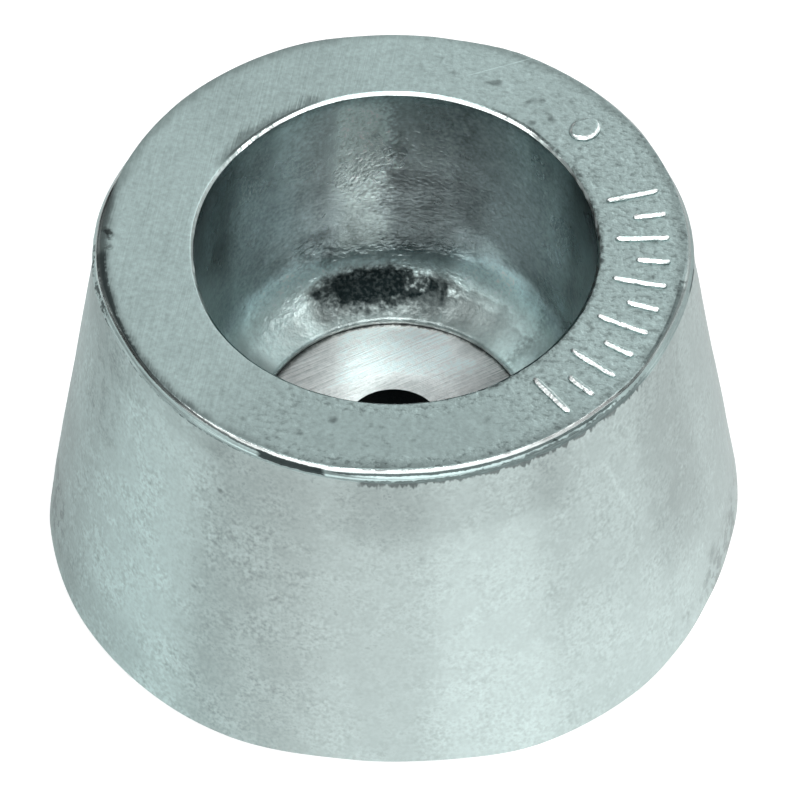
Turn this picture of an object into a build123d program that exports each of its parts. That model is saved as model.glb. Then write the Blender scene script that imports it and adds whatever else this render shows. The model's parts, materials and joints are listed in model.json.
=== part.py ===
from build123d import *
import os
from math import radians, tan

# Conical sacrificial anode for the end of a shaft or hub: a zinc casting with a
# steel disc cast into the floor of its recess, fastened by one screw through the
# disc. +Z runs along the axis towards the small end, and the origin is the centre
# of the base. Millimetres.

# Outside of the casting
height = 33.7
base_diameter = 64.0
base_bevel = 0.5
face_diameter = 50.0        # flat ring of the small end
rim_bevel_width = 0.28      # dressed edge round that ring
rim_bevel_depth = 0.34
rim_ease_width = 0.22       # eased corner from that bevel to the rim's upright band
rim_ease_depth = 0.28
parting_depth = 1.05        # from the small end down to the mould's parting line
flash_thickness = 0.2       # root of the flash, above the parting line
flash_overhang = 0.12       # how far the flash stands out from the rim band
flash_undercut = 0.12       # how far the cone starts inside the rim band
flash_shadow = 0.16         # height from the cone's top up to the flash's tip

# Plain raised marks on the ring: a row of ribs by turns long and short, their outer
# ends on one circle, and a round pip
mark_height = 0.35
mark_bevel = 0.12
rib_width = 0.9
long_rib = 4.8
short_rib = 3.0
rib_outer_diameter = 47.8
rib_pairs = 5               # one more long rib ends the row
rib_pitch = 6.7             # degrees
first_rib_angle = -52.0     # from +X, anticlockwise seen from above
pip_diameter = 3.0
pip_circle_diameter = 43.0
pip_angle = 38.5

# Recess for the screw's head and the tool that turns it
mouth_diameter = 35.5
mouth_bevel = 0.35
recess_depth = 25.5         # from the small end down to the steel disc
recess_draft = 1.5          # degrees, so that the core draws out
bowl_radius = 7.0
lip_skin = 0.25             # zinc over the disc where the bowl would run level
lip_diameter = 24.8         # round window that the lip leaves over the disc

# Steel disc, held by the zinc above, below and round its edge
disc_diameter = 30.0
disc_thickness = 3.0
screw_hole_diameter = 9.0   # clearance hole for an M8 screw
cast_gap = 0.02             # round the disc's edge

# Radii and heights that follow
base_radius = base_diameter / 2
face_radius = face_diameter / 2
rim_bevel_radius = face_radius + rim_bevel_width
rim_bevel_foot = height - rim_bevel_depth
band_radius = rim_bevel_radius + rim_ease_width
band_top = rim_bevel_foot - rim_ease_depth
flash_radius = band_radius + flash_overhang
cone_top_radius = band_radius - flash_undercut
parting_height = height - parting_depth
cone_top_height = parting_height - flash_shadow
mouth_radius = mouth_diameter / 2
lip_radius = lip_diameter / 2
disc_radius = disc_diameter / 2
screw_hole_radius = screw_hole_diameter / 2
disc_top = height - recess_depth
disc_bottom = disc_top - disc_thickness
bowl_floor = disc_top + lip_skin
wall_foot_radius = mouth_radius - (height - bowl_floor) * tan(radians(recess_draft))

# The casting: frustum and rim first, then the recess, the disc's seat and the hole
with BuildPart() as zinc_casting:
    with BuildSketch(Plane.XZ):
        with BuildLine():
            Polyline(
                (0, 0),
                (base_radius, 0),
                (cone_top_radius, cone_top_height),
                (flash_radius, parting_height),
                (band_radius, parting_height + flash_thickness),
                (band_radius, band_top),
                (rim_bevel_radius, rim_bevel_foot),
                (face_radius, height),
                (0, height),
                close=True,
            )
        make_face()
    revolve(axis=Axis.Z)
    base_edge = zinc_casting.edges().filter_by(GeomType.CIRCLE).group_by(Axis.Z)[0]
    chamfer(base_edge, base_bevel)

    # Drafted wall running into the bowl, and the window inside the lip
    with BuildSketch(Plane.XZ):
        with BuildLine():
            Polyline(
                (0, bowl_floor),
                (wall_foot_radius, bowl_floor),
                (mouth_radius, height),
                (0, height),
                close=True,
            )
        bowl_section = make_face()
        bowl_corner = bowl_section.vertices().group_by(Axis.Y)[0].sort_by(Axis.X)[-1]
        fillet(bowl_corner, bowl_radius)
        with Locations((0, disc_top)):
            Rectangle(lip_radius, bowl_radius, align=(Align.MIN, Align.MIN))
    revolve(axis=Axis.Z, mode=Mode.SUBTRACT)
    mouth_edge = (
        zinc_casting.edges()
        .filter_by(GeomType.CIRCLE)
        .group_by(Axis.Z)[-1]
        .sort_by(SortBy.RADIUS)[0]
    )
    chamfer(mouth_edge, mouth_bevel)

    # Seat that the zinc formed round the disc
    with BuildSketch(Plane.XY.offset(disc_bottom)):
        Circle(disc_radius + cast_gap)
    extrude(amount=disc_thickness, mode=Mode.SUBTRACT)
    with Locations((0, 0, disc_bottom)):
        Hole(screw_hole_radius, depth=disc_bottom)

    # Raised marks, cast in one with the ring
    long_ribs = PolarLocations(
        (rib_outer_diameter - long_rib) / 2,
        rib_pairs + 1,
        start_angle=first_rib_angle,
        angular_range=2 * rib_pitch * rib_pairs,
        endpoint=True,
    )
    short_ribs = PolarLocations(
        (rib_outer_diameter - short_rib) / 2,
        rib_pairs,
        start_angle=first_rib_angle + rib_pitch,
        angular_range=2 * rib_pitch * (rib_pairs - 1),
        endpoint=True,
    )
    with BuildSketch(Plane.XY.offset(height)):
        with long_ribs:
            SlotOverall(long_rib, rib_width)
        with short_ribs:
            SlotOverall(short_rib, rib_width)
        with PolarLocations(pip_circle_diameter / 2, 1, start_angle=pip_angle):
            Circle(pip_diameter / 2)
    extrude(amount=mark_height)
    chamfer(zinc_casting.edges().group_by(Axis.Z)[-1], mark_bevel)

zinc_casting.part.label = "zinc_casting"

# The steel disc, which the screw's head bears on
with BuildPart() as insert_disc:
    with BuildSketch(Plane.XY.offset(disc_bottom)):
        Circle(disc_radius)
    extrude(amount=disc_thickness)
    with Locations((0, 0, disc_top)):
        Hole(screw_hole_radius, depth=disc_thickness)

insert_disc.part.label = "insert_disc"

os.makedirs("parts", exist_ok=True)
export_step(zinc_casting.part, "parts/zinc_casting.step")
export_step(insert_disc.part, "parts/insert_disc.step")
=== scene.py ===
import json
from math import acos, cos, degrees, radians, sin

import bpy
import numpy as np
from mathutils import Matrix, Vector, noise


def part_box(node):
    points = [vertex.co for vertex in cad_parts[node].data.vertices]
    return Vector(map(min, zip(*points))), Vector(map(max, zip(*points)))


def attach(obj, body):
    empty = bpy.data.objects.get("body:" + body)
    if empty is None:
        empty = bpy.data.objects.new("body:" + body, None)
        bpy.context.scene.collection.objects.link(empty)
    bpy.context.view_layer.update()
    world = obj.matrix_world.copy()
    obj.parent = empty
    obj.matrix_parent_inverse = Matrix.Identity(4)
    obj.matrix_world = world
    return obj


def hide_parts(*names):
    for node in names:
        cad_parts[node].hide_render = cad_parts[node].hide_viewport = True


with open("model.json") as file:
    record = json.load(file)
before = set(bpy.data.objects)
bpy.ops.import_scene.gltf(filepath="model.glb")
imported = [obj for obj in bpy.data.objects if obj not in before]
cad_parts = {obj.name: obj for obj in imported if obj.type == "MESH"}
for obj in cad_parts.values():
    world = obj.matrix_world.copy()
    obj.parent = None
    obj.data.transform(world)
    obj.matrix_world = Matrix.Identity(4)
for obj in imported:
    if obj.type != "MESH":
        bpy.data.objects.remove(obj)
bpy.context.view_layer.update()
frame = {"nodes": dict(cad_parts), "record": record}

MM = 0.001

# Sizes that the frame gives, in millimetres
record = frame["record"]
casting_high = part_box("zinc_casting")[1] / MM
disc_low, disc_high = (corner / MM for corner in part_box("insert_disc"))
screw_hole = next(mount for mount in record["mounts"] if mount["name"] == "screw_hole")
recess_opening = next(o for o in record["physics"]["openings"] if o["name"] == "recess")
base_radius = casting_high.x
mark_top = casting_high.z
disc_radius = disc_high.x
disc_top = disc_high.z
disc_bottom = disc_low.z
hole_radius = screw_hole["dims"]["r_mm"]
ring_height = recess_opening["box_m"][1][2] / MM

# Rim: a dressed bevel, an eased edge under it, a band and the flash of the parting line
ring_radius = 25.0
rim_bevel_radius = 25.28
rim_bevel_foot = ring_height - 0.34
band_radius = 25.5
band_top = ring_height - 0.62
flash_radius = 25.62
flash_top = ring_height - 0.85
parting_height = ring_height - 1.05
cone_top_radius = 25.38
cone_top_height = ring_height - 1.21
base_bevel_width = 0.4
base_bevel_height = 0.49

# Recess
mouth_edge_radius = 18.03
mouth_radius = 17.7
mouth_bevel_foot = ring_height - 0.3
wall_draft = 1.5
wall_foot_radius = 17.267
bowl_radius = 7.0
lip_skin = 0.25
bowl_centre_height = disc_top + lip_skin + bowl_radius
bowl_centre_radius = wall_foot_radius - bowl_radius
lip_radius = 12.4
lip_edge_height = disc_top + 0.04
cast_gap = 0.02
seat_radius = disc_radius + cast_gap
seat_top = disc_top + 0.01

# Fineness of the casting's mesh
columns = 600
bowl_steps = 26


class Signal:
    """A node's output that Python's operators work on, by way of Math nodes."""

    def __init__(self, graph, socket):
        self.graph = graph
        self.socket = socket

    def out(self, name):
        return Signal(self.graph, self.graph.find(self.socket.node.outputs, name))

    def math(self, operation, first, second=0.0):
        return self.graph.add("ShaderNodeMath", {"operation": operation}, {0: first, 1: second})

    def __add__(self, other):
        return self.math("ADD", self, other)

    __radd__ = __add__

    def __sub__(self, other):
        return self.math("SUBTRACT", self, other)

    def __rsub__(self, other):
        return self.math("SUBTRACT", other, self)

    def __mul__(self, other):
        return self.math("MULTIPLY", self, other)

    __rmul__ = __mul__

    def __truediv__(self, other):
        return self.math("DIVIDE", self, other)

    def __pow__(self, other):
        return self.math("POWER", self, other)


class Graph:
    """Builds the nodes of one material, world or geometry tree."""

    def __init__(self, tree):
        self.tree = tree
        self.tree.nodes.clear()

    def find(self, sockets, key):
        if isinstance(key, int):
            return sockets[key]
        return next(socket for socket in sockets if socket.enabled and socket.name == key)

    def add(self, kind, settings=None, inputs=None, output=0):
        """One node: its settings first, then the values or links of its sockets."""
        node = self.tree.nodes.new(kind)
        for name, value in (settings or {}).items():
            setattr(node, name, value)
        for key, value in (inputs or {}).items():
            socket = self.find(node.inputs, key)
            if isinstance(value, Signal):
                self.tree.links.new(value.socket, socket)
            else:
                socket.default_value = value
        return Signal(self, self.find(node.outputs, output))

    def rise(self, value, low, high):
        """0 at low and 1 at high, smooth between, whichever of the two is larger."""
        return self.add(
            "ShaderNodeMapRange",
            {"interpolation_type": "SMOOTHSTEP"},
            {"Value": value, "From Min": low, "From Max": high},
        )

    def within(self, value, low, high, soft):
        """1 between low and high, falling to 0 over the soft distance outside them."""
        return self.rise(value, low - soft, low) * self.rise(value, high + soft, high)

    def least(self, first, second):
        return first.math("MINIMUM", first, second)

    def most(self, first, second):
        return first.math("MAXIMUM", first, second)

    def mix(self, factor, first, second):
        return self.add(
            "ShaderNodeMix",
            {"data_type": "RGBA"},
            {"Factor": factor, "A": first, "B": second},
            output="Result",
        )

    def tint(self, colour, tone):
        """A colour made lighter or darker by a factor."""
        factor = self.add("ShaderNodeCombineXYZ", None, {"X": tone, "Y": tone, "Z": tone})
        return self.vector("MULTIPLY", factor, colour)

    def vector(self, operation, first, second):
        return self.add("ShaderNodeVectorMath", {"operation": operation}, {0: first, 1: second})

    def split(self, vector):
        """A vector's X, whose out() gives its Y and Z."""
        return self.add("ShaderNodeSeparateXYZ", None, {"Vector": vector}, output="X")

    def turn(self, position, angle, stretch=(1.0, 1.0, 1.0)):
        """The position turned by an angle about the axis, then drawn out along the new axes."""
        turned = self.add(
            "ShaderNodeVectorRotate",
            {"rotation_type": "Z_AXIS"},
            {"Vector": position, "Angle": radians(-angle)},
        )
        return self.vector("DIVIDE", turned, stretch)

    def cloud(self, position, size, detail=2.0, roughness=0.5):
        """Noise round 0, within about -0.5 to 0.5, in lumps of about the given size."""
        lumps = self.add(
            "ShaderNodeTexNoise",
            {"noise_dimensions": "3D"},
            {"Vector": position, "Scale": 1.0 / size, "Detail": detail, "Roughness": roughness},
        )
        return lumps - 0.5

    def finish(self, kind, socket, result):
        """The tree's output node."""
        output = self.tree.nodes.new(kind)
        self.tree.links.new(result.socket, self.find(output.inputs, socket))

    def bump(self, height):
        """A normal from a height in millimetres."""
        return self.add("ShaderNodeBump", None, {"Height": height, "Distance": MM, "Strength": 1.0})


def swell(point, size, seed):
    """Smooth noise from -1 to 1 in lumps of about the given size."""
    return noise.noise(point / size + Vector((seed * 7.3, seed * 3.1, seed * 5.7)))


def blend(value, low, high):
    """0 at low and 1 at high, smooth between."""
    t = min(max((value - low) / (high - low), 0.0), 1.0)
    return t * t * (3.0 - 2.0 * t)


def between(value, low, high, soft):
    """1 between low and high, falling to 0 over the soft distance outside them."""
    return blend(value, low - soft, low) * blend(-value, -high - soft, -high)


# The casting's section: corners with their rounding, and the steps to the next one
def bowl_corners():
    """Points down the bowl's arc, from the wall's foot to the lip's edge."""
    start = radians(wall_draft)
    end = acos((lip_radius - bowl_centre_radius) / bowl_radius)
    for i in range(bowl_steps + 1):
        angle = start + (end - start) * i / bowl_steps
        radius = bowl_centre_radius + bowl_radius * cos(angle)
        height = bowl_centre_height - bowl_radius * sin(angle)
        yield radius, height, 0.0, 1, "bowl"


def casting_corners():
    """Corners as radius, height, rounding, steps to the next corner and the surface there."""
    yield hole_radius, 0.0, 0.1, 6, "base"
    yield base_radius - base_bevel_width, 0.0, 0.1, 2, "base"
    yield base_radius, base_bevel_height, 0.1, 34, "cone"
    yield cone_top_radius, cone_top_height, 0.04, 2, "flash"
    yield flash_radius, parting_height, 0.04, 2, "flash"
    yield band_radius, flash_top, 0.03, 2, "band"
    yield band_radius, band_top, 0.03, 2, "rim_ease"
    yield rim_bevel_radius, rim_bevel_foot, 0.04, 3, "rim_bevel"
    yield ring_radius, ring_height, 0.03, 20, "ring"
    yield mouth_edge_radius, ring_height, 0.03, 3, "mouth_bevel"
    yield mouth_radius, mouth_bevel_foot, 0.04, 18, "wall"
    yield from bowl_corners()
    yield lip_radius, lip_edge_height, 0.03, 3, "under_lip"
    yield seat_radius, seat_top, 0.03, 1, "seat"
    yield seat_radius, disc_bottom, 0.05, 4, "seat"
    yield hole_radius, disc_bottom, 0.05, 3, "hole"


def casting_section():
    """The closed loop of points round the section, each with its surface's name."""
    corners = list(casting_corners())
    section = []
    for i, (radius, height, rounding, steps, surface) in enumerate(corners):
        here = Vector((radius, height))
        before = Vector(corners[i - 1][:2])
        after = Vector(corners[(i + 1) % len(corners)][:2])
        next_rounding = corners[(i + 1) % len(corners)][2]
        ahead = (after - here).normalized()
        start = here + ahead * rounding
        if rounding:
            entry = here + (before - here).normalized() * rounding
            middle = (entry + start) / 4 + here / 2
            section += [(entry, surface), (middle, surface)]
        section.append((start, surface))
        stop = after - ahead * next_rounding
        section += [(start.lerp(stop, k / steps), surface) for k in range(1, steps)]
    return section


# Where the edges leave their circles: how far outwards in millimetres, the two azimuths
# between which they do, and the angle over which that fades
mouth_shifts = ((-0.4, 140.0, 185.0, 38.0), (-0.14, -50.0, 38.0, 14.0))
bevel_shifts = ((0.07, -110.0, -102.0, 6.0), (-0.15, -90.0, -48.0, 12.0))
ring_shifts = ((0.35, 4.0, 62.0, 18.0), (0.27, 110.0, 160.0, 12.0))
foot_shifts = (
    (0.5, -148.0, -128.0, 32.0),
    (-0.46, -97.0, -88.0, 20.0),
    (0.36, -64.0, -48.0, 16.0),
    (-0.22, -25.0, -15.0, 10.0),
    (-0.42, 172.0, 178.0, 12.0),
)
head_shifts = (
    (0.35, 36.0, 62.0, 18.0),
    (0.27, 110.0, 136.0, 16.0),
    (0.5, 174.0, 186.0, 22.0),
    (0.38, -2.0, 6.0, 24.0),
)

# Radii and a height from which the flat faces and the wall follow those edges
ring_follows_mouth = 20.5
wall_follows_mouth = 27.5
ring_follows_bevel = 23.6
ring_follows_outline = 22.5
base_follows_outline = 20.0
ring_edge = 24.97

# Relief of each surface: depth in millimetres all round, depth added in its rough sector,
# size of the lumps and their seed
relief_layers = {
    "cone": ((0.06, 0.0, 9.0, 1), (0.02, 0.0, 3.0, 2)),
    "flash": ((0.021, 0.06, 0.7, 3), (0.0126, 0.036, 0.3, 4)),
    "band": ((0.012, 0.0, 1.2, 5), (0.01, 0.0, 5.0, 6)),
    "rim_ease": ((0.012, 0.0, 1.2, 5), (0.01, 0.0, 5.0, 6)),
    "rim_bevel": ((0.012, 0.0, 1.2, 5), (0.01, 0.0, 5.0, 6)),
    "ring": ((0.008, 0.02, 1.1, 7), (0.0, 0.02, 0.6, 8)),
    "mouth_bevel": ((0.02, 0.04, 0.8, 9), (0.02, 0.0, 2.5, 10)),
    "wall": ((0.04, 0.0, 5.0, 11), (0.012, 0.0, 1.2, 12)),
    "bowl": ((0.04, 0.0, 5.0, 11), (0.012, 0.03, 1.0, 13)),
}

# Rough sector of each surface that has one: two azimuths and the angle over which it fades
rough_sectors = {
    "flash": (-96.0, -38.0, 6.0),
    "ring": (-125.0, 75.0, 25.0),
    "mouth_bevel": (-70.0, 45.0, 12.0),
    "bowl": (70.0, 115.0, 10.0),
}

# The cone's relief starts above its foot, and the whole cone lies a little inside its corners
smooth_foot = 0.5
relief_full = 4.0
cone_inset = 0.02


def around(azimuth, low, high, soft):
    """1 between two azimuths, falling to 0 over the soft angle outside them."""
    middle = (low + high) / 2
    offset = (azimuth - middle + 180.0) % 360.0 - 180.0
    return between(offset, low - middle, high - middle, soft)


def total_shift(shifts, azimuth):
    """The sum of a table's shifts at an azimuth, in millimetres."""
    return sum(far * around(azimuth, low, high, soft) for far, low, high, soft in shifts)


def edge_shift(point, azimuth, surface):
    """How far the mouth's edge and the rim's bevel lie off their circles, in millimetres."""
    if surface == "ring" and point.x < ring_follows_mouth:
        weight = blend(-point.x, -ring_follows_mouth, -mouth_edge_radius)
        return total_shift(mouth_shifts, azimuth) * weight
    if surface == "mouth_bevel":
        return total_shift(mouth_shifts, azimuth)
    if surface == "wall":
        weight = blend(point.y, wall_follows_mouth, mouth_bevel_foot)
        return total_shift(mouth_shifts, azimuth) * weight
    if surface in ("ring", "rim_bevel", "rim_ease"):
        weight = blend(point.x, ring_follows_bevel, ring_edge) * blend(point.y, band_top, rim_bevel_foot)
        return total_shift(bevel_shifts, azimuth) * weight
    return 0.0


def out_of_round(point, azimuth, surface):
    """How far the outside lies off its circles, which are a little square, in millimetres."""
    if surface == "ring":
        return total_shift(ring_shifts, azimuth) * blend(point.x, ring_follows_outline, ring_edge)
    if surface == "base":
        weight = blend(point.x, base_follows_outline, base_radius - base_bevel_width)
        return total_shift(foot_shifts, azimuth) * weight
    if surface in ("cone", "flash", "band", "rim_ease", "rim_bevel"):
        level = point.y / ring_height
        return total_shift(foot_shifts, azimuth) * (1.0 - level) + total_shift(head_shifts, azimuth) * level
    return 0.0


def relief(point, azimuth, surface):
    """Height of the cast relief along the surface's normal, in millimetres."""
    rough = around(azimuth, *rough_sectors[surface]) if surface in rough_sectors else 0.0
    height = 0.0
    for depth, rough_depth, size, seed in relief_layers.get(surface, ()):
        height += (depth + rough_depth * rough) * swell(point, size, seed)
    if surface == "cone":
        height = height * blend(point.z, smooth_foot, relief_full) - cone_inset
    return height


def build_casting():
    """The zinc casting: its section carried round the axis, with the relief of each surface."""
    section = casting_section()
    rows = len(section)
    outline = [point for point, surface in section]
    coordinates = np.empty((rows, columns, 3))
    for i, (point, surface) in enumerate(section):
        along = (outline[(i + 1) % rows] - outline[i - 1]).normalized()
        normal_radius, normal_height = along.y, -along.x
        for j in range(columns):
            angle = 2 * np.pi * j / columns
            place = Vector((point.x * cos(angle), point.x * sin(angle), point.y))
            azimuth = (degrees(angle) + 180.0) % 360.0 - 180.0
            height = relief(place, azimuth, surface)
            radius = point.x + normal_radius * height
            radius += edge_shift(point, azimuth, surface) + out_of_round(point, azimuth, surface)
            level = point.y + normal_height * height
            coordinates[i, j] = radius * cos(angle), radius * sin(angle), level
    row = np.arange(rows)[:, None]
    column = np.arange(columns)[None, :]
    next_row = (row + 1) % rows
    next_column = (column + 1) % columns
    corners = (row, column), (row, next_column), (next_row, next_column), (next_row, column)
    faces = np.stack([r * columns + c for r, c in corners], axis=-1).reshape(-1, 4)
    mesh = bpy.data.meshes.new("casting")
    mesh.from_pydata((coordinates.reshape(-1, 3) * MM).tolist(), [], faces.tolist())
    mesh.shade_smooth()
    inner = [surface in ("wall", "bowl", "under_lip", "seat", "hole") for point, surface in section]
    mesh.polygons.foreach_set("material_index", np.repeat(np.array(inner, dtype=np.int32), columns))
    piece = bpy.data.objects.new("casting", mesh)
    bpy.context.collection.objects.link(piece)
    return piece


# Plain raised marks on the ring: ribs by turns long and short, and a round pip
mark_width = 0.9
long_rib = 4.8
short_rib = 3.0
rib_outer_radius = 23.9
rib_pairs = 5
rib_pitch = 6.7
first_rib_angle = -52.0
pip_diameter = 3.0
pip_outer_radius = 23.0
pip_angle = 38.5
mark_unevenness = 0.16
mark_lump_size = 1 / 1.3
mark_keel_share = 0.4
mark_fillet_share = 0.3
mark_fillet_steps = 4
mark_steps = 28
mark_section_steps = 32


def mark_tree():
    """Marks in a row round the axis: low bars with soft ends, their undersides in the ring."""
    tree = bpy.data.node_groups.new("marks", "GeometryNodeTree")
    tree.interface.new_socket("Geometry", in_out="OUTPUT", socket_type="NodeSocketGeometry")
    names = ("Count", "First Angle", "Pitch", "Outer Radius", "Length", "Width", "Height")
    for name in names + ("Level", "Crown", "Softness", "Unevenness", "Seed"):
        kind = "NodeSocketInt" if name in ("Count", "Seed") else "NodeSocketFloat"
        tree.interface.new_socket(name, in_out="INPUT", socket_type=kind)
    tree.interface.new_socket("Material", in_out="INPUT", socket_type="NodeSocketMaterial")
    graph = Graph(tree)
    count = graph.add("NodeGroupInput", output="Count")
    length = count.out("Length")
    height = count.out("Height")
    level = count.out("Level")

    def point(x=0.0, y=0.0, z=0.0):
        return graph.add("ShaderNodeCombineXYZ", None, {"X": x, "Y": y, "Z": z})

    # One bar along X with a section like a low roof, narrowing towards both ends
    line = graph.add(
        "GeometryNodeCurvePrimitiveLine", None, {"Start": point(length * -0.5), "End": point(length * 0.5)}
    )
    line = graph.add("GeometryNodeResampleCurve", None, {"Curve": line, "Count": mark_steps})
    along = graph.add("GeometryNodeSplineParameter", output="Factor")
    off_centre = (along * 2.0 - 1.0).math("ABSOLUTE", along * 2.0 - 1.0)
    girth = (1.002 - off_centre ** count.out("Softness")) ** 0.5
    crown = height * count.out("Crown")
    keel = height * mark_keel_share
    section = graph.add(
        "GeometryNodeCurvePrimitiveQuadrilateral",
        {"mode": "KITE"},
        {"Width": count.out("Width"), "Bottom Height": crown, "Top Height": keel},
    )
    section = graph.add(
        "GeometryNodeFilletCurve",
        {"mode": "POLY"},
        {"Curve": section, "Count": mark_fillet_steps, "Radius": height * mark_fillet_share},
    )
    section = graph.add("GeometryNodeResampleCurve", None, {"Curve": section, "Count": mark_section_steps})
    bar = graph.add(
        "GeometryNodeCurveToMesh",
        None,
        {"Curve": line, "Profile Curve": section, "Scale": girth, "Fill Caps": True},
    )

    # The row of them round the axis
    angle = count.out("First Angle") + count.out("Pitch") * graph.add("GeometryNodeInputIndex")
    reach = count.out("Outer Radius") - length * 0.5
    place = point(reach * angle.math("COSINE", angle), reach * angle.math("SINE", angle), level)
    row = graph.add("GeometryNodePoints", None, {"Count": count, "Position": place})
    turned = graph.add("FunctionNodeEulerToRotation", None, {"Euler": point(z=angle)})
    marks = graph.add(
        "GeometryNodeInstanceOnPoints", None, {"Points": row, "Instance": bar, "Rotation": turned}
    )
    marks = graph.add("GeometryNodeRealizeInstances", None, {"Geometry": marks})

    # Uneven sides as the mould left them, and tops no higher than the mark
    position = graph.add("GeometryNodeInputPosition")
    seed = count.out("Seed")
    lumps = graph.add(
        "ShaderNodeTexNoise",
        {"noise_dimensions": "4D"},
        {"Vector": position, "W": seed, "Scale": 1 / (mark_lump_size * MM), "Detail": 2.0},
        output="Color",
    )
    lumps = graph.vector("SUBTRACT", lumps, (0.5, 0.5, 0.5))
    uneven = count.out("Unevenness")
    lumps = graph.vector("MULTIPLY", lumps, point(uneven, uneven, uneven))
    marks = graph.add("GeometryNodeSetPosition", None, {"Geometry": marks, "Offset": lumps})
    x = graph.split(position)
    levelled = point(x, x.out("Y"), graph.least(x.out("Z"), level + height))
    marks = graph.add("GeometryNodeSetPosition", None, {"Geometry": marks, "Position": levelled})
    marks = graph.add("GeometryNodeSetShadeSmooth", None, {"Geometry": marks})
    material = count.out("Material")
    marks = graph.add("GeometryNodeSetMaterial", None, {"Geometry": marks, "Material": material})
    graph.finish("NodeGroupOutput", "Geometry", marks)
    return tree


def grow(name, tree, **values):
    """The tree's result as a plain mesh on an object of its own."""
    mesh = bpy.data.meshes.new(name)
    piece = bpy.data.objects.new(name, mesh)
    bpy.context.collection.objects.link(piece)
    modifier = piece.modifiers.new("nodes", "NODES")
    modifier.node_group = tree
    for item in tree.interface.items_tree:
        key = item.name.lower().replace(" ", "_")
        if item.in_out == "INPUT" and key in values:
            modifier[item.identifier] = values[key]
    seen = piece.evaluated_get(bpy.context.evaluated_depsgraph_get())
    grown = bpy.data.meshes.new_from_object(seen)
    piece.modifiers.clear()
    piece.data = grown
    return piece


def build_marks(material):
    """The rows of long and short ribs and the pip."""
    tree = mark_tree()
    shared = dict(
        width=mark_width * MM,
        level=ring_height * MM,
        height=(mark_top - ring_height) * MM,
        unevenness=mark_unevenness * MM,
        material=material,
    )
    pieces = [
        grow(
            "long_ribs",
            tree,
            count=rib_pairs + 1,
            first_angle=radians(first_rib_angle),
            pitch=radians(2 * rib_pitch),
            outer_radius=rib_outer_radius * MM,
            length=long_rib * MM,
            softness=8.0,
            crown=1.1,
            seed=3,
            **shared,
        ),
        grow(
            "short_ribs",
            tree,
            count=rib_pairs,
            first_angle=radians(first_rib_angle + rib_pitch),
            pitch=radians(2 * rib_pitch),
            outer_radius=rib_outer_radius * MM,
            length=short_rib * MM,
            softness=6.0,
            crown=1.1,
            seed=8,
            **shared,
        ),
        grow(
            "round_pip",
            tree,
            count=1,
            first_angle=radians(pip_angle),
            pitch=0.0,
            outer_radius=pip_outer_radius * MM,
            length=pip_diameter * MM,
            softness=2.0,
            crown=2.6,
            seed=5,
            **{**shared, "width": pip_diameter * MM},
        ),
    ]
    for piece in pieces:
        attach(piece, "root")
        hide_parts("zinc_casting")


# Materials
zinc_colour = (0.55, 0.645, 0.633, 1.0)
cool_zinc_colour = (0.509, 0.645, 0.636, 1.0)
wall_zinc_colour = (0.507, 0.645, 0.662, 1.0)
# Colour of painted highlights
highlight_zinc_colour = (0.86, 0.92, 0.91, 1.0)
# Black for the smear, the grime, and the painted shade in the hole and under the lip
soot_and_shade_colour = (0.010, 0.017, 0.018, 1.0)
steel_colour = (1.0, 0.91, 0.895)

# Tones of clean metal, as factors on those colours; the recess's is low as painted shade
ring_base_tone = 0.93
rim_base_tone = 0.88
cone_base_tone = 0.79
recess_base_tone = 0.51
steel_base_tone = 0.92
brightest_recess_tone = 1.45

# Roughness of clean metal
zinc_roughness = 0.42
recess_roughness = 0.28
steel_roughness = 0.3

# Depths below the ring between which the materials see its bevel and its rim
bevel_depths = (0.08, 0.3)
rim_depths = (0.33, 1.2)

# Directions of the scratches from +X, in degrees
dressing_angle = 81.0
scratch_angle = 20.6
brushing_angle = 29.0


class Place:
    """Where a shaded point lies on the part, in millimetres and degrees."""

    def __init__(self, graph):
        self.graph = graph
        to_mm = (1 / MM, 1 / MM, 1 / MM)
        self.position = graph.vector("MULTIPLY", graph.add("ShaderNodeTexCoord", output="Object"), to_mm)
        self.x = graph.split(self.position)
        self.y = self.x.out("Y")
        self.z = self.x.out("Z")
        self.radius = (self.x * self.x + self.y * self.y) ** 0.5
        self.azimuth = self.x.math("ARCTAN2", self.y, self.x) * degrees(1.0)
        flat = graph.vector("MULTIPLY", self.position, (1.0, 1.0, 0.0))
        self.outward = graph.vector("NORMALIZE", flat, (0.0, 0.0, 0.0))

    def add_cast_textures(self):
        """Noise of both zinc surfaces: two grains, stains, and a wandering for the edges of patches."""
        cloud = self.graph.cloud
        self.fine = cloud(self.position, 0.36, detail=2.0)
        self.coarse = cloud(self.position, 1.1, detail=2.0, roughness=0.6)
        self.stains = cloud(self.position, 5.5, detail=3.0, roughness=0.55)
        self.wander = cloud(self.position, 2.2, detail=3.0, roughness=0.65)

    def sector(self, centre, half, soft):
        """1 to half an angle on both sides of a centre, falling to 0 over the soft angle."""
        towards = (cos(radians(centre)), sin(radians(centre)), 0.0)
        cosine = self.graph.add(
            "ShaderNodeVectorMath",
            {"operation": "DOT_PRODUCT"},
            {0: self.outward, 1: towards},
            output="Value",
        )
        return self.graph.rise(cosine, cos(radians(half + soft)), cos(radians(half)))

    def sectors(self, rows):
        """The sum of sectors, each with its strength and a further weight after its three angles."""
        total = 0.0
        for centre, half, soft, strength, weight in rows:
            total = total + strength * weight * self.sector(centre, half, soft)
        return total

    def spot(self, centre, inner, outer, ragged):
        """1 within the inner distance of a point, falling to 0 at the outer one."""
        apart = self.graph.add(
            "ShaderNodeVectorMath",
            {"operation": "DISTANCE"},
            {0: self.position, 1: centre},
            output="Value",
        )
        return self.graph.rise(apart + ragged, outer, inner)


def new_metal(name):
    """An empty material with its graph and the place of the shaded point."""
    material = bpy.data.materials.new(name)
    material.use_nodes = True
    graph = Graph(material.node_tree)
    return material, graph, Place(graph)


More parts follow.
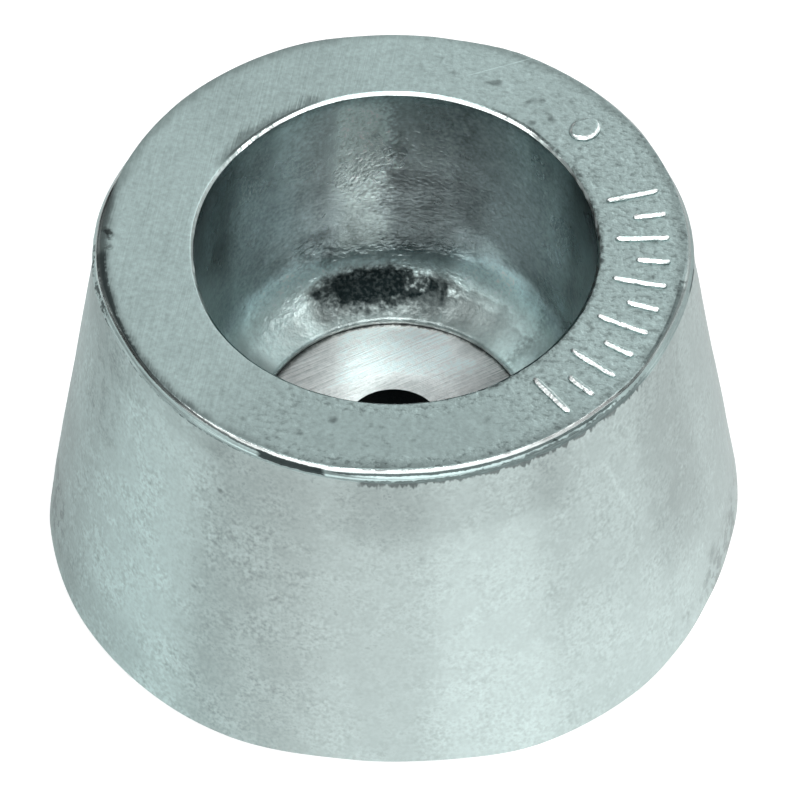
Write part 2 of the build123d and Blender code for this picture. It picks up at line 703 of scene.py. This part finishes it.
def finish_metal(graph, colour, roughness, height):
    """The metal's shader, with its relief given in millimetres."""
    inputs = {"Base Color": colour, "Metallic": 1.0, "Roughness": roughness, "Normal": graph.bump(height)}
    shader = graph.add("ShaderNodeBsdfPrincipled", None, inputs)
    graph.finish("ShaderNodeOutputMaterial", "Surface", shader)


def ring_finish(graph, at, mark_foot_shade):
    """Tone and relief of the ring: cast grain to the right and in front, dressed elsewhere."""
    rise, within, sector = graph.rise, graph.within, at.sector
    fine, coarse, stains, wander, radius = at.fine, at.coarse, at.stains, at.wander, at.radius
    scratches = graph.turn(at.position, dressing_angle, (8.0, 0.15, 1.0))
    scratches = graph.cloud(scratches, 1.0, detail=3.0, roughness=0.65)
    pits = graph.vector("MULTIPLY", at.position, (0.7, 1.0, 1.0))
    pits = graph.cloud(pits, 0.42, detail=2.0, roughness=0.6)

    # Grain where the ring is left as cast, except where it is worn smooth
    rough = sector(-18.0, 88.0, 30.0)
    dressed = 1.0 - rough
    worn = sector(-88.0, 16.0, 14.0) * within(radius + wander * 2.0, 19.8, 23.2, 0.9)
    worn = worn + sector(75.0, 22.0, 20.0) * 0.7
    grain = rough * (1.0 - 0.8 * worn)
    hollows = rise(pits, -0.02, -0.17) - 0.5 * rise(pits, 0.06, 0.2)
    mottle = 0.06 + 0.12 * rise(stains, -0.2, 0.2)
    tone = ring_base_tone - 0.27 * grain * hollows + 0.4 * fine + mottle * coarse
    tone = tone + dressed * (scratches * 0.38 + fine * 0.12 - 0.2 * (stains - 0.1))
    tone = tone + at.sectors(
        (
            (-85.0, 30.0, 25.0, -0.1, 1.0),
            (15.0, 30.0, 20.0, -0.07, 1.0),
            (120.0, 14.0, 12.0, -0.07, 1.0),
            (-75.0, 18.0, 12.0, -0.15, rise(radius, 23.6, 24.4)),
        )
    )

    # Grime along the mouth, a worn, grimy patch at the left of the outer edge, and painted shade all round
    # the outer edge, where it rounds off
    smudge = sector(130.0, 15.0, 8.0) * rise(radius + scratches * 2.0 + wander * 2.4, 19.0, 17.9)
    worn_edge = sector(-162.0, 26.0, 12.0) * rise(radius + scratches * 1.6 + wander * 1.2, 24.3, 25.1)
    shaded_outer_edge = rise(radius + coarse * 1.6 + fine * 1.4, 24.2, 25.2)
    from_mouth = radius + coarse * 0.7 - mouth_edge_radius
    from_mouth = from_mouth + 0.4 * sector(162.0, 22.0, 38.0) + 0.14 * sector(-6.0, 44.0, 14.0)
    mouth_dirt = sector(0.0, 58.0, 12.0) * rise(from_mouth, 0.45, 0.05) * rise(fine, -0.08, 0.06)
    mouth_line = sector(131.0, 12.0, 6.0) + sector(50.0, 8.0, 5.0)
    mouth_line = mouth_line * rise(from_mouth - coarse * 0.6, 0.22, 0.1)
    tone = tone * (1.0 - 0.45 * smudge) * (1.0 - 0.5 * worn_edge) * (1.0 - 0.35 * shaded_outer_edge)

    # One long scratch behind, to the right
    along = graph.split(graph.turn(at.position, scratch_angle))
    scratch = within(along, 13.6, 19.2, 0.8) * within(along.out("Y"), 16.35, 16.42, 0.07)
    tone = tone + 0.22 * scratch
    # The last factor is painted shade round the foot of the marks
    tone = tone * (1.0 - 0.5 * mouth_dirt) * (1.0 - 0.5 * mouth_line) * (1.0 - 0.5 * mark_foot_shade)
    height = 0.012 * fine + 0.11 * grain * pits + 0.04 * grain * fine + 0.02 * dressed * scratches
    return tone, height


def rim_finish(graph, at, depth, on_bevel, raised):
    """Tone of the rim with its painted highlights and painted shade, and the grime and painted shadow in
    its corners.
    """
    rise, within, sector = graph.rise, graph.within, at.sector
    fine, coarse, wander, radius, azimuth = at.fine, at.coarse, at.wander, at.radius, at.azimuth
    combs = graph.vector("MULTIPLY", at.position, (1.0, 1.0, 0.12))
    combs = graph.cloud(combs, 0.45, detail=1.0)

    # Painted highlight on the bevel in front and behind, and on the raised marks
    painted_highlight = sector(-88.0, 44.0, 4.0) + sector(95.0, 44.0, 9.0) * rise(fine + coarse, -0.25, -0.12)
    painted_highlight = painted_highlight * (1.0 - sector(140.0, 9.0, 4.0) * rise(coarse + fine, 0.02, -0.03))
    painted_highlight = on_bevel * painted_highlight * rise(radius - 25.4 + combs * 0.4, 0.1, 0.0) + raised

    # Dark lines: one that bends down on both sides of the left, and a ragged one under the flash, which is
    # grime with painted shadow
    swept = (azimuth + 165.0) * (azimuth + 165.0)
    ragged = depth + wander * 0.12 + fine * 0.1
    left_part = within(azimuth, -176.0, -116.0, 3.0)
    line = within(ragged - swept * 0.00013, 0.0, 0.1, 0.04) * left_part
    under = rise(ragged + combs * 0.5 + 0.011 * graph.least(azimuth + 92.0, 30.0), 0.8, 0.92)
    under = under * rise(ragged + combs * 1.6, 1.7, 1.4) * within(azimuth + wander * 8.0, -94.0, -36.0, 4.0)
    dirt_and_shade = 0.8 * line + 0.62 * under

    # Blotches of grime and painted shadow: strength and texture, then the azimuths with what their ends
    # wander by and how softly they end, and the same for the depths below the ring
    blotches = (
        (0.8, 1.0, -100.0, -44.0, 0.0, 3.0, 0.35, 0.46, 0.03),
        (1.04, 1.0, -115.0, -104.0, wander * 6.0, 1.5, 0.3, 0.84, 0.04),
        (0.84, rise(coarse + fine, -0.12, 0.08), -178.0, -163.0, wander * 8.0, 3.0, 0.4, 1.5, 0.1),
        (0.6, rise(coarse + combs, -0.06, 0.1), -164.0, -118.0, 0.0, 6.0, 1.0, 1.32, 0.08),
        (0.6, 1.0, -30.0, -12.0, combs * 12.0, 3.0, -0.1, 0.18, 0.06),
        (0.3, 1.0, -146.0, -131.0, wander * 6.0, 2.0, 0.45, 0.87, 0.06),
        (0.6, 1.0, -10.0, -5.0, wander * 4.0, 1.0, 0.72, 1.1, 0.08),
    )
    for strength, texture, low, high, shift, soft, top, foot, fade in blotches:
        sides = within(azimuth + shift, low, high, soft)
        dirt_and_shade = dirt_and_shade + strength * texture * sides * within(ragged, top, foot, fade)
    dirt_and_shade = graph.least(dirt_and_shade, 1.0) * rise(radius, 24.75, 24.9)

    # Painted highlights: a light line on the left and a lighter band in front; the eased edge in front is
    # painted darker as shade
    glint = within(depth - swept * 0.00019, 0.25, 0.38, 0.05) * left_part
    step = within(depth + 0.0095 * (azimuth + 92.0), 0.62, 0.78, 0.04) * within(azimuth, -102.0, -36.0, 4.0)
    dull = sector(150.0, 34.0, 12.0) * on_bevel
    eased = within(depth, 0.34, 0.62, 0.03) * within(azimuth, -101.0, -52.0, 8.0)
    tone = rim_base_tone + 0.3 * fine + 0.3 * coarse + 0.4 * glint + 0.2 * step - 0.35 * dull
    tone = tone * (1.0 - 0.3 * eased) * (1.0 - 0.3 * sector(15.0, 35.0, 12.0))
    return tone, graph.least(painted_highlight, 1.0), dirt_and_shade


def cone_finish(graph, at):
    """Tone of the cone: upright bands of painted reflection and shade, clouds, dark specks, grime, and
    painted shade on the far left.
    """
    rise, within, sector = graph.rise, graph.within, at.sector
    fine, coarse, stains, wander, z = at.fine, at.coarse, at.stains, at.wander, at.z
    specks = rise(stains + sector(-115.0, 12.0, 25.0) * 0.2, -0.1, 0.15)
    specks = specks * rise(coarse + 0.6 * fine, 0.1, 0.26)
    mottle = (1.0 + 0.7 * rise(at.x, 2.0, -24.0)) * (0.45 + 1.1 * rise(stains + wander, -0.2, 0.2))
    tone = cone_base_tone + 0.2 * stains + mottle * (0.4 * fine + 0.28 * coarse) - 0.24 * specks
    # Painted reflections and shade: lighter and darker upright bands, some only high or low on the cone
    tone = tone + at.sectors(
        (
            (-140.0, 4.0, 15.0, 0.17, 1.0),
            (-116.0, 4.0, 13.0, -0.1, 1.0),
            (-73.0, 3.0, 10.0, 0.13, 1.0),
            (-29.0, 2.0, 10.0, -0.11, rise(z, 7.0, 11.0)),
            (-45.0, 16.0, 10.0, 0.06, rise(z, 16.0, 9.0)),
            (-78.0, 18.0, 8.0, -0.14, rise(z + stains * 6.0, 24.5, 27.5)),
            (-146.0, 8.0, 10.0, -0.13, rise(z, 8.0, 4.0)),
            (-131.0, 5.0, 6.0, -0.12, rise(z, 29.8, 31.2)),
        )
    )
    arc = at.azimuth + 0.68 * z + 28.7
    tone = tone + 0.07 * within(arc, -0.25, 0.25, 0.5) * within(z, 21.0, 27.0, 1.5)
    grime = at.sectors(
        (
            (-170.0, 5.0, 6.0, 1.0, within(z, 2.5, 6.5, 2.0)),
            (-157.0, 4.0, 5.0, 0.6, within(z, 22.0, 29.0, 2.0)),
            (-14.0, 10.0, 7.0, 0.8, rise(z, 6.0, 2.5)),
        )
    )
    tone = tone - 0.34 * grime * rise(coarse + wander + 0.6 * fine, -0.06, 0.12)
    # Painted shade on the far left, all the way up and strongest at the top and low down
    far_left_shade = at.sectors(
        (
            (180.0, 28.0, 14.0, 1.0, 0.4 + rise(z, 27.0, 31.0)),
            (180.0, 10.0, 8.0, 0.8, rise(z, 20.0, 14.0)),
        )
    )
    return tone * (1.0 - 0.15 * far_left_shade)


def single_marks(graph, at):
    """A nick in the ring's edge, pits and stains on the cone: centre, size and strength."""
    marks = (
        ((-24.8, 0.9, 33.7), 0.75, 1.0),
        ((-24.6, -0.6, 33.7), 0.5, 0.5),
        ((-14.5, -22.1, 27.25), 0.45, 0.45),
        ((-17.0, -23.3, 15.45), 0.45, 0.45),
        ((24.6, -14.4, 17.3), 2.2, 0.1),
        ((28.95, -11.35, 4.5), 1.1, 0.3),
        ((26.5, -17.0, 2.7), 1.0, 0.3),
    )
    spots = 0.0
    for centre, size, strength in marks:
        ragged = (at.wander + at.coarse) * 1.8 * size
        spots = spots + strength * at.spot(centre, 0.2 * size, size, ragged)
    return graph.least(spots * graph.rise(at.fine + at.coarse, -0.3, 0.0), 0.8)


def outside_material():
    """Cast zinc of the cone, the rim and the ring with its marks."""
    material, graph, at = new_metal("cast_zinc")
    at.add_cast_textures()
    rise, within = graph.rise, graph.within
    depth = ring_height - at.z

    # Regions
    on_ring = rise(depth, 0.09, 0.06)
    on_bevel = within(depth, *bevel_depths, 0.02)
    on_rim = within(depth, *rim_depths, 0.02)
    on_cone = rise(depth, 1.2, 1.24) * rise(at.radius, 19.0, 20.0)
    elsewhere = 1.0 - on_ring - on_cone - on_rim - on_bevel
    raised = within(at.z, ring_height + 0.1, mark_top - 0.05, 0.03)
    # Painted shade round the foot of the marks
    mark_foot_shade = within(at.z, ring_height + 0.03, ring_height + 0.06, 0.02)
    in_hole = rise(at.radius, hole_radius + 0.4, hole_radius + 0.2)

    ring_tone, ring_relief = ring_finish(graph, at, mark_foot_shade)
    rim_tone, painted_highlight, dirt_and_shade = rim_finish(graph, at, depth, on_bevel, raised)
    tone = on_ring * ring_tone + on_cone * cone_finish(graph, at) + (on_rim + on_bevel) * rim_tone
    tone = tone + elsewhere * 0.9
    cool = graph.least(on_ring + on_rim + on_cone * rise(at.x, -6.0, -24.0), 1.0)
    metal = graph.mix(cool, zinc_colour, cool_zinc_colour)
    colour = graph.tint(metal, tone * (1.0 - single_marks(graph, at)))
    # Painted highlights on the bevel and the marks, except where grime or painted shade lies
    colour = graph.mix(painted_highlight * (1.0 - dirt_and_shade), colour, highlight_zinc_colour)
    # The screw hole is painted black as shade, and the rim's grime and painted shadow are darkened with it
    soot_and_shade = graph.least(in_hole + dirt_and_shade * 0.9, 1.0)
    colour = graph.mix(soot_and_shade, colour, soot_and_shade_colour)
    height = on_ring * ring_relief + on_cone * (0.025 * at.fine + 0.03 * at.coarse)
    roughness = zinc_roughness + 0.04 * on_cone - 0.14 * raised - 0.22 * on_bevel
    roughness = roughness + 0.08 * at.stains + 0.2 * soot_and_shade
    finish_metal(graph, colour, roughness, height)
    return material


def recess_light_and_shade(graph, at, tone):
    """The recess's tone with patches of painted light and shade."""
    # Patches of painted light and shade: middle, half-width and softness round the axis, the same for the
    # heights between two levels, and how much lighter or darker
    patches = (
        (76.0, 11.0, 8.0, 14.5, 22.5, 3.0, -0.42),
        (74.0, 3.0, 8.0, 24.0, 32.0, 3.0, -0.25),
        (92.0, 10.0, 7.0, 14.8, 19.0, 1.8, -0.38),
        (72.0, 5.0, 6.0, 15.5, 20.0, 2.0, -0.28),
        (114.0, 3.0, 5.0, 14.0, 16.5, 1.2, -0.35),
        (114.0, 4.0, 6.0, 9.6, 11.4, 0.6, -0.55),
        (124.0, 5.0, 6.0, 9.6, 11.2, 0.8, -0.2),
        (84.0, 34.0, 9.0, 9.0, 10.9, 0.5, -0.4),
        (72.0, 9.0, 8.0, 8.6, 11.0, 0.5, -0.38),
        (50.0, 14.0, 7.0, 8.6, 10.2, 0.5, -0.38),
        (144.0, 10.0, 8.0, 8.6, 9.6, 0.5, -0.25),
        (56.0, 8.0, 6.0, 11.8, 14.0, 1.0, 0.5),
        (130.0, 11.0, 6.0, 11.0, 13.2, 1.2, 0.6),
        (156.0, 14.0, 8.0, 9.6, 13.6, 1.5, 0.25),
        (84.0, 20.0, 8.0, 12.5, 13.7, 0.8, 0.35),
        (110.0, 6.0, 5.0, 11.6, 12.6, 0.6, 0.4),
        (150.0, 9.0, 6.0, 25.0, 31.0, 2.0, 0.4),
        (99.0, 4.0, 5.0, 24.0, 29.5, 2.0, 0.3),
        (124.0, 5.0, 6.0, 16.0, 20.0, 2.0, 0.15),
        (26.0, 7.0, 6.0, 22.0, 31.0, 2.5, 0.35),
        (18.0, 4.0, 5.0, 15.0, 25.0, 2.0, -0.15),
        (52.0, 6.0, 6.0, 18.0, 25.0, 2.0, -0.16),
        (30.0, 5.0, 5.0, 12.2, 14.5, 1.0, -0.2),
    )
    for centre, half, soft, bottom, top, fade, change in patches:
        patch = at.sector(centre, half, soft) * graph.within(at.z + at.wander * 1.5, bottom, top, fade)
        tone = tone * (1.0 + change * patch)
    return tone


def black_smear(graph, at, wrinkles, flecks):
    """The black smear at the back of the bowl, with a dark line at its right end."""
    rise, within, z, azimuth = graph.rise, graph.within, at.z, at.azimuth
    ragged = at.wander * 1.0 + wrinkles * 0.7 + at.fine * 0.5
    # Ellipses on the surface: middle and half-width round the axis, level and reach in height,
    # and strength
    ellipses = ((96.0, 23.0, 10.6, 1.3, 1.0), (76.0, 9.0, 10.4, 1.1, 0.6))
    smear = 0.0
    for centre, half, level, reach, strength in ellipses:
        across = (azimuth - centre) / half
        upwards = (z - level) / reach
        apart = (across * across + upwards * upwards) ** 0.5
        smear = graph.most(strength * rise(apart + ragged, 1.3, 0.75), smear)
    smear = smear * (0.97 + 0.5 * at.fine + 1.6 * at.coarse * rise(azimuth, 88.0, 80.0))
    line = within(azimuth + at.coarse * 2.0, 72.2, 72.8, 0.8) * within(z + at.coarse, 9.8, 12.0, 0.4)
    return (smear + 0.18 * line) * (1.0 - 0.85 * flecks)


def recess_material():
    """Cast zinc of the recess: a smoother wall, a wrinkled bowl and a black smear at the back, with painted
    light and shade.
    """
    material, graph, at = new_metal("recess_zinc")
    at.add_cast_textures()
    rise, within, sector = graph.rise, graph.within, at.sector
    fine, coarse, stains, wander = at.fine, at.coarse, at.stains, at.wander
    z, azimuth = at.z, at.azimuth
    wrinkles = graph.vector("MULTIPLY", at.position, (1.0, 1.0, 1.7))
    wrinkles = graph.cloud(wrinkles, 0.9, detail=2.0, roughness=0.6)

    # Wall painted dark as shade, an upright stripe of painted reflection on it, a lighter bowl, and pools
    # of painted light low on the left and right
    edge = azimuth + wander * 11.0 + fine * 9.0
    low = rise(z, 13.5, 11.0)
    reflection_streak = rise(edge, 88.0, 97.0) * rise(edge, 111.0, 104.0)
    reflection_streak = reflection_streak * within(z + wander * 4.0, 15.0, 31.0, 3.0)
    reflection_streak = reflection_streak + 0.25 * within(edge, 78.0, 120.0, 12.0) * rise(z, 22.0, 25.0)
    streak_strength = 0.12 + 0.48 * rise(z, 15.0, 22.0) + 0.34 * rise(z, 21.0, 25.0)
    left_slope = z + wander * 2.0 + (azimuth - 135.0) * 0.12
    left_light_pool = within(edge, 117.0, 147.0, 7.0) * rise(left_slope, 14.6, 12.4)
    right_slope = z + wander * 2.0 - (azimuth - 56.0) * 0.14
    right_light_pool = within(edge, 38.0, 66.0, 7.0) * rise(right_slope, 17.5, 13.4)
    tone = recess_base_tone + 0.43 * low + reflection_streak * streak_strength + 0.5 * left_light_pool + 0.7 * right_light_pool
    tone = tone + 0.12 * sector(117.0, 5.0, 7.0) - 0.1 * sector(54.0, 8.0, 10.0)
    tone = recess_light_and_shade(graph, at, tone)

    # Pale flecks beside the smear, and painted shade at the left and right of the wall
    flecks = at.sectors(
        (
            (82.0, 2.5, 2.5, 1.0, within(z, 10.4, 11.7, 0.4)),
            (68.5, 1.6, 1.6, 1.0, within(z, 10.2, 12.2, 0.4)),
        )
    )
    flecks = flecks * rise(coarse + 0.4 * fine, -0.1, 0.16)
    ends = sector(160.0, 7.0, 7.0) * rise(z, 27.0, 23.0) + 1.3 * sector(10.0, 12.0, 8.0)
    tone = graph.least(tone * (1.0 - 0.3 * ends) + 0.4 * flecks, brightest_recess_tone)
    tone = tone * (1.0 + (1.0 - 0.5 * low) * fine + (0.6 - 0.4 * low) * coarse + 0.35 * stains)

    smear = black_smear(graph, at, wrinkles, flecks)
    # Under the lip the zinc is painted black as shade
    shade_under_lip = rise(z, lip_edge_height, disc_top) * rise(at.radius, lip_radius + 0.3, lip_radius + 0.1)
    metal = graph.mix(1.0 - low, zinc_colour, wall_zinc_colour)
    metal = graph.mix(reflection_streak * 0.9, metal, cool_zinc_colour)
    soot_and_shade = graph.least(graph.most(shade_under_lip, smear), 1.0)
    colour = graph.mix(soot_and_shade, graph.tint(metal, tone), soot_and_shade_colour)
    height = 0.03 * fine + 0.1 * wrinkles * rise(z, 22.0, 13.0) * sector(105.0, 32.0, 16.0)
    roughness = recess_roughness + 0.14 * low + 0.08 * stains + 0.2 * soot_and_shade
    finish_metal(graph, colour, roughness, height)
    return material


def steel_material():
    """Straight-brushed steel of the disc, with a painted highlight and painted shade."""
    material, graph, at = new_metal("insert_steel")
    rise, within, x, y = graph.rise, graph.within, at.x, at.y
    brushing = graph.turn(at.position, brushing_angle, (6.0, 0.12, 1.0))
    brushing = graph.cloud(brushing, 1.0, detail=4.0, roughness=0.6)
    specks = graph.cloud(at.position, 0.4, detail=2.0)
    # Painted shade: black in the hole, and the lip's shadow on the disc with the dark joint under the lip,
    # widest on the left
    in_hole = rise(at.radius, hole_radius + 0.05, hole_radius + 0.02)
    lip_shadow_start = 12.05 - 0.35 * rise(x, -2.0, -9.0)
    lip_shadow_and_joint = rise(at.radius + 0.5 * specks, lip_shadow_start, 12.35)
    # Painted shade at the left and right, where the brushing shows stronger; a painted highlight across the
    # middle; painted shade round the middle, except on the left, and at the back right
    ends = 0.5 * rise(x, -4.5, -8.5) + rise(x, 7.0, 10.5)
    painted_highlight = within(x, -4.0, 7.0, 2.5) * rise(y - 0.25 * x, 3.5, 7.0)
    tone = steel_base_tone + 0.15 * painted_highlight + (0.8 + 1.1 * ends) * brushing + 0.4 * specks - 0.26 * ends
    tone = tone * (1.0 - 0.3 * rise(at.radius, 7.0, 5.0) * rise(x, -4.0, -1.0))
    tone = tone * (1.0 - 0.35 * rise(x, 4.5, 7.0) * rise(y, 7.5, 9.5))
    dark = graph.least(in_hole + 0.9 * lip_shadow_and_joint, 1.0)
    colour = graph.mix(dark, graph.tint(steel_colour, tone), soot_and_shade_colour)
    roughness = steel_roughness + brushing * 0.12
    finish_metal(graph, colour, roughness, brushing * 0.05 + specks * 0.01)
    return material


# The studio
room_strength = 0.64
arc_bend = 0.0023
floor_half_width = 3000.0
floor_colour = (0.7, 0.7, 0.7, 1.0)
white = (1.0, 1.0, 1.0, 1.0)


def bearing_of(x, y):
    """The angle from the front, in degrees, larger to the right."""
    return x.math("ARCTAN2", x, 0.0 - y) * degrees(1.0)


def build_world():
    """A pale room with soft lights above the front and behind on the right."""
    world = bpy.data.worlds.new("studio")
    bpy.context.scene.world = world
    world.use_nodes = True
    graph = Graph(world.node_tree)
    x = graph.split(graph.add("ShaderNodeTexCoord", output="Generated"))
    elevation = x.math("ARCSINE", x.out("Z")) * degrees(1.0)
    bearing = bearing_of(x, x.out("Y"))
    bent = elevation + bearing * bearing * arc_bend

    # Lights: strength, then from where to where and how softly they end, in bearing and elevation
    lights = (
        (0.8, -80.0, 95.0, 12.0, elevation, 24.0, 38.0, 5.0),
        (1.6, -78.0, 88.0, 10.0, bent, 46.0, 52.0, 5.0),
        (3.3, -20.0, 24.0, 16.0, elevation, 46.0, 66.0, 7.0),
        (2.4, -42.0, -22.0, 8.0, elevation, 49.0, 68.0, 7.0),
    )
    room = room_strength * graph.rise(elevation, 8.0, 26.0)
    behind = graph.within(bearing, 100.0, 170.0, 12.0) * graph.rise(elevation, 44.0, 34.0)
    radiance = room + behind
    for strength, left, right, soft, height, low, high, fade in lights:
        sides = graph.within(bearing, left, right, soft)
        radiance = radiance + strength * sides * graph.within(height, low, high, fade)

    is_camera = graph.add("ShaderNodeLightPath", output="Is Camera Ray")
    strength = radiance * (1.0 - is_camera) + is_camera
    background = graph.add("ShaderNodeBackground", None, {"Color": white, "Strength": strength})
    graph.finish("ShaderNodeOutputWorld", "Surface", background)


def build_floor():
    """A pale floor that keeps the part's shadow, and that metal sees glow near the part."""
    half = floor_half_width * MM
    mesh = bpy.data.meshes.new("floor")
    corners = [(-half, -half, 0), (half, -half, 0), (half, half, 0), (-half, half, 0)]
    mesh.from_pydata(corners, [], [(0, 1, 2, 3)])
    floor = bpy.data.objects.new("floor", mesh)
    bpy.context.collection.objects.link(floor)
    material = bpy.data.materials.new("floor")
    material.use_nodes = True
    graph = Graph(material.node_tree)
    at = Place(graph)
    rays = graph.add("ShaderNodeLightPath", output="Is Camera Ray")
    glossy = rays.out("Is Glossy Ray") + rays.out("Is Transmission Ray")
    clear = graph.rise(at.radius, 30.0, 31.0)
    pool = 0.06 + 0.5 * graph.within(bearing_of(at.x, at.y), 5.0, 45.0, 85.0)
    reach = 0.45 * graph.rise(at.radius, 88.0, 76.0) + 0.55 * graph.rise(at.radius, 160.0, 140.0)
    inputs = {
        "Base Color": floor_colour,
        "Roughness": 0.9,
        "Specular IOR Level": 0.0,
        "Emission Color": white,
        "Emission Strength": clear * (0.45 * rays + pool * reach * glossy),
    }
    shader = graph.add("ShaderNodeBsdfPrincipled", None, inputs)
    graph.finish("ShaderNodeOutputMaterial", "Surface", shader)
    mesh.materials.append(material)


def build_camera():
    """The photograph's viewpoint, in millimetres from the centre of the ring's plane."""
    elevation = radians(50.827)
    distance = 345.2
    offset_right = 0.576
    offset_up = -13.581
    roll = radians(0.229)
    focal_pixels = 4000.0
    image_pixels = 800.0
    forward = Vector((0.0, cos(elevation), -sin(elevation)))
    right = Vector((1.0, 0.0, 0.0))
    up = Vector((0.0, sin(elevation), cos(elevation)))
    place = Vector((0.0, 0.0, ring_height)) + offset_right * right + offset_up * up - distance * forward
    rolled_right = cos(roll) * right + sin(roll) * up
    rolled_up = cos(roll) * up - sin(roll) * right
    data = bpy.data.cameras.new("camera")
    data.sensor_width = 36.0
    data.lens = focal_pixels / image_pixels * data.sensor_width
    data.clip_start = 10.0 * MM
    data.clip_end = 100.0
    camera = bpy.data.objects.new("camera", data)
    bpy.context.collection.objects.link(camera)
    axes = Matrix((rolled_right, rolled_up, -forward)).transposed()
    camera.matrix_world = Matrix.Translation(place * MM) @ axes.to_4x4()
    bpy.context.scene.camera = camera


# The whole scene
zinc = outside_material()
recess_zinc = recess_material()
steel = steel_material()

casting = build_casting()
casting.data.materials.append(zinc)
casting.data.materials.append(recess_zinc)
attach(casting, "root")
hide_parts("zinc_casting")
build_marks(zinc)

disc = frame["nodes"]["insert_disc"]
disc.data.materials.clear()
disc.data.materials.append(steel)

build_world()
build_floor()
build_camera()
bpy.context.scene.view_settings.view_transform = "Standard"
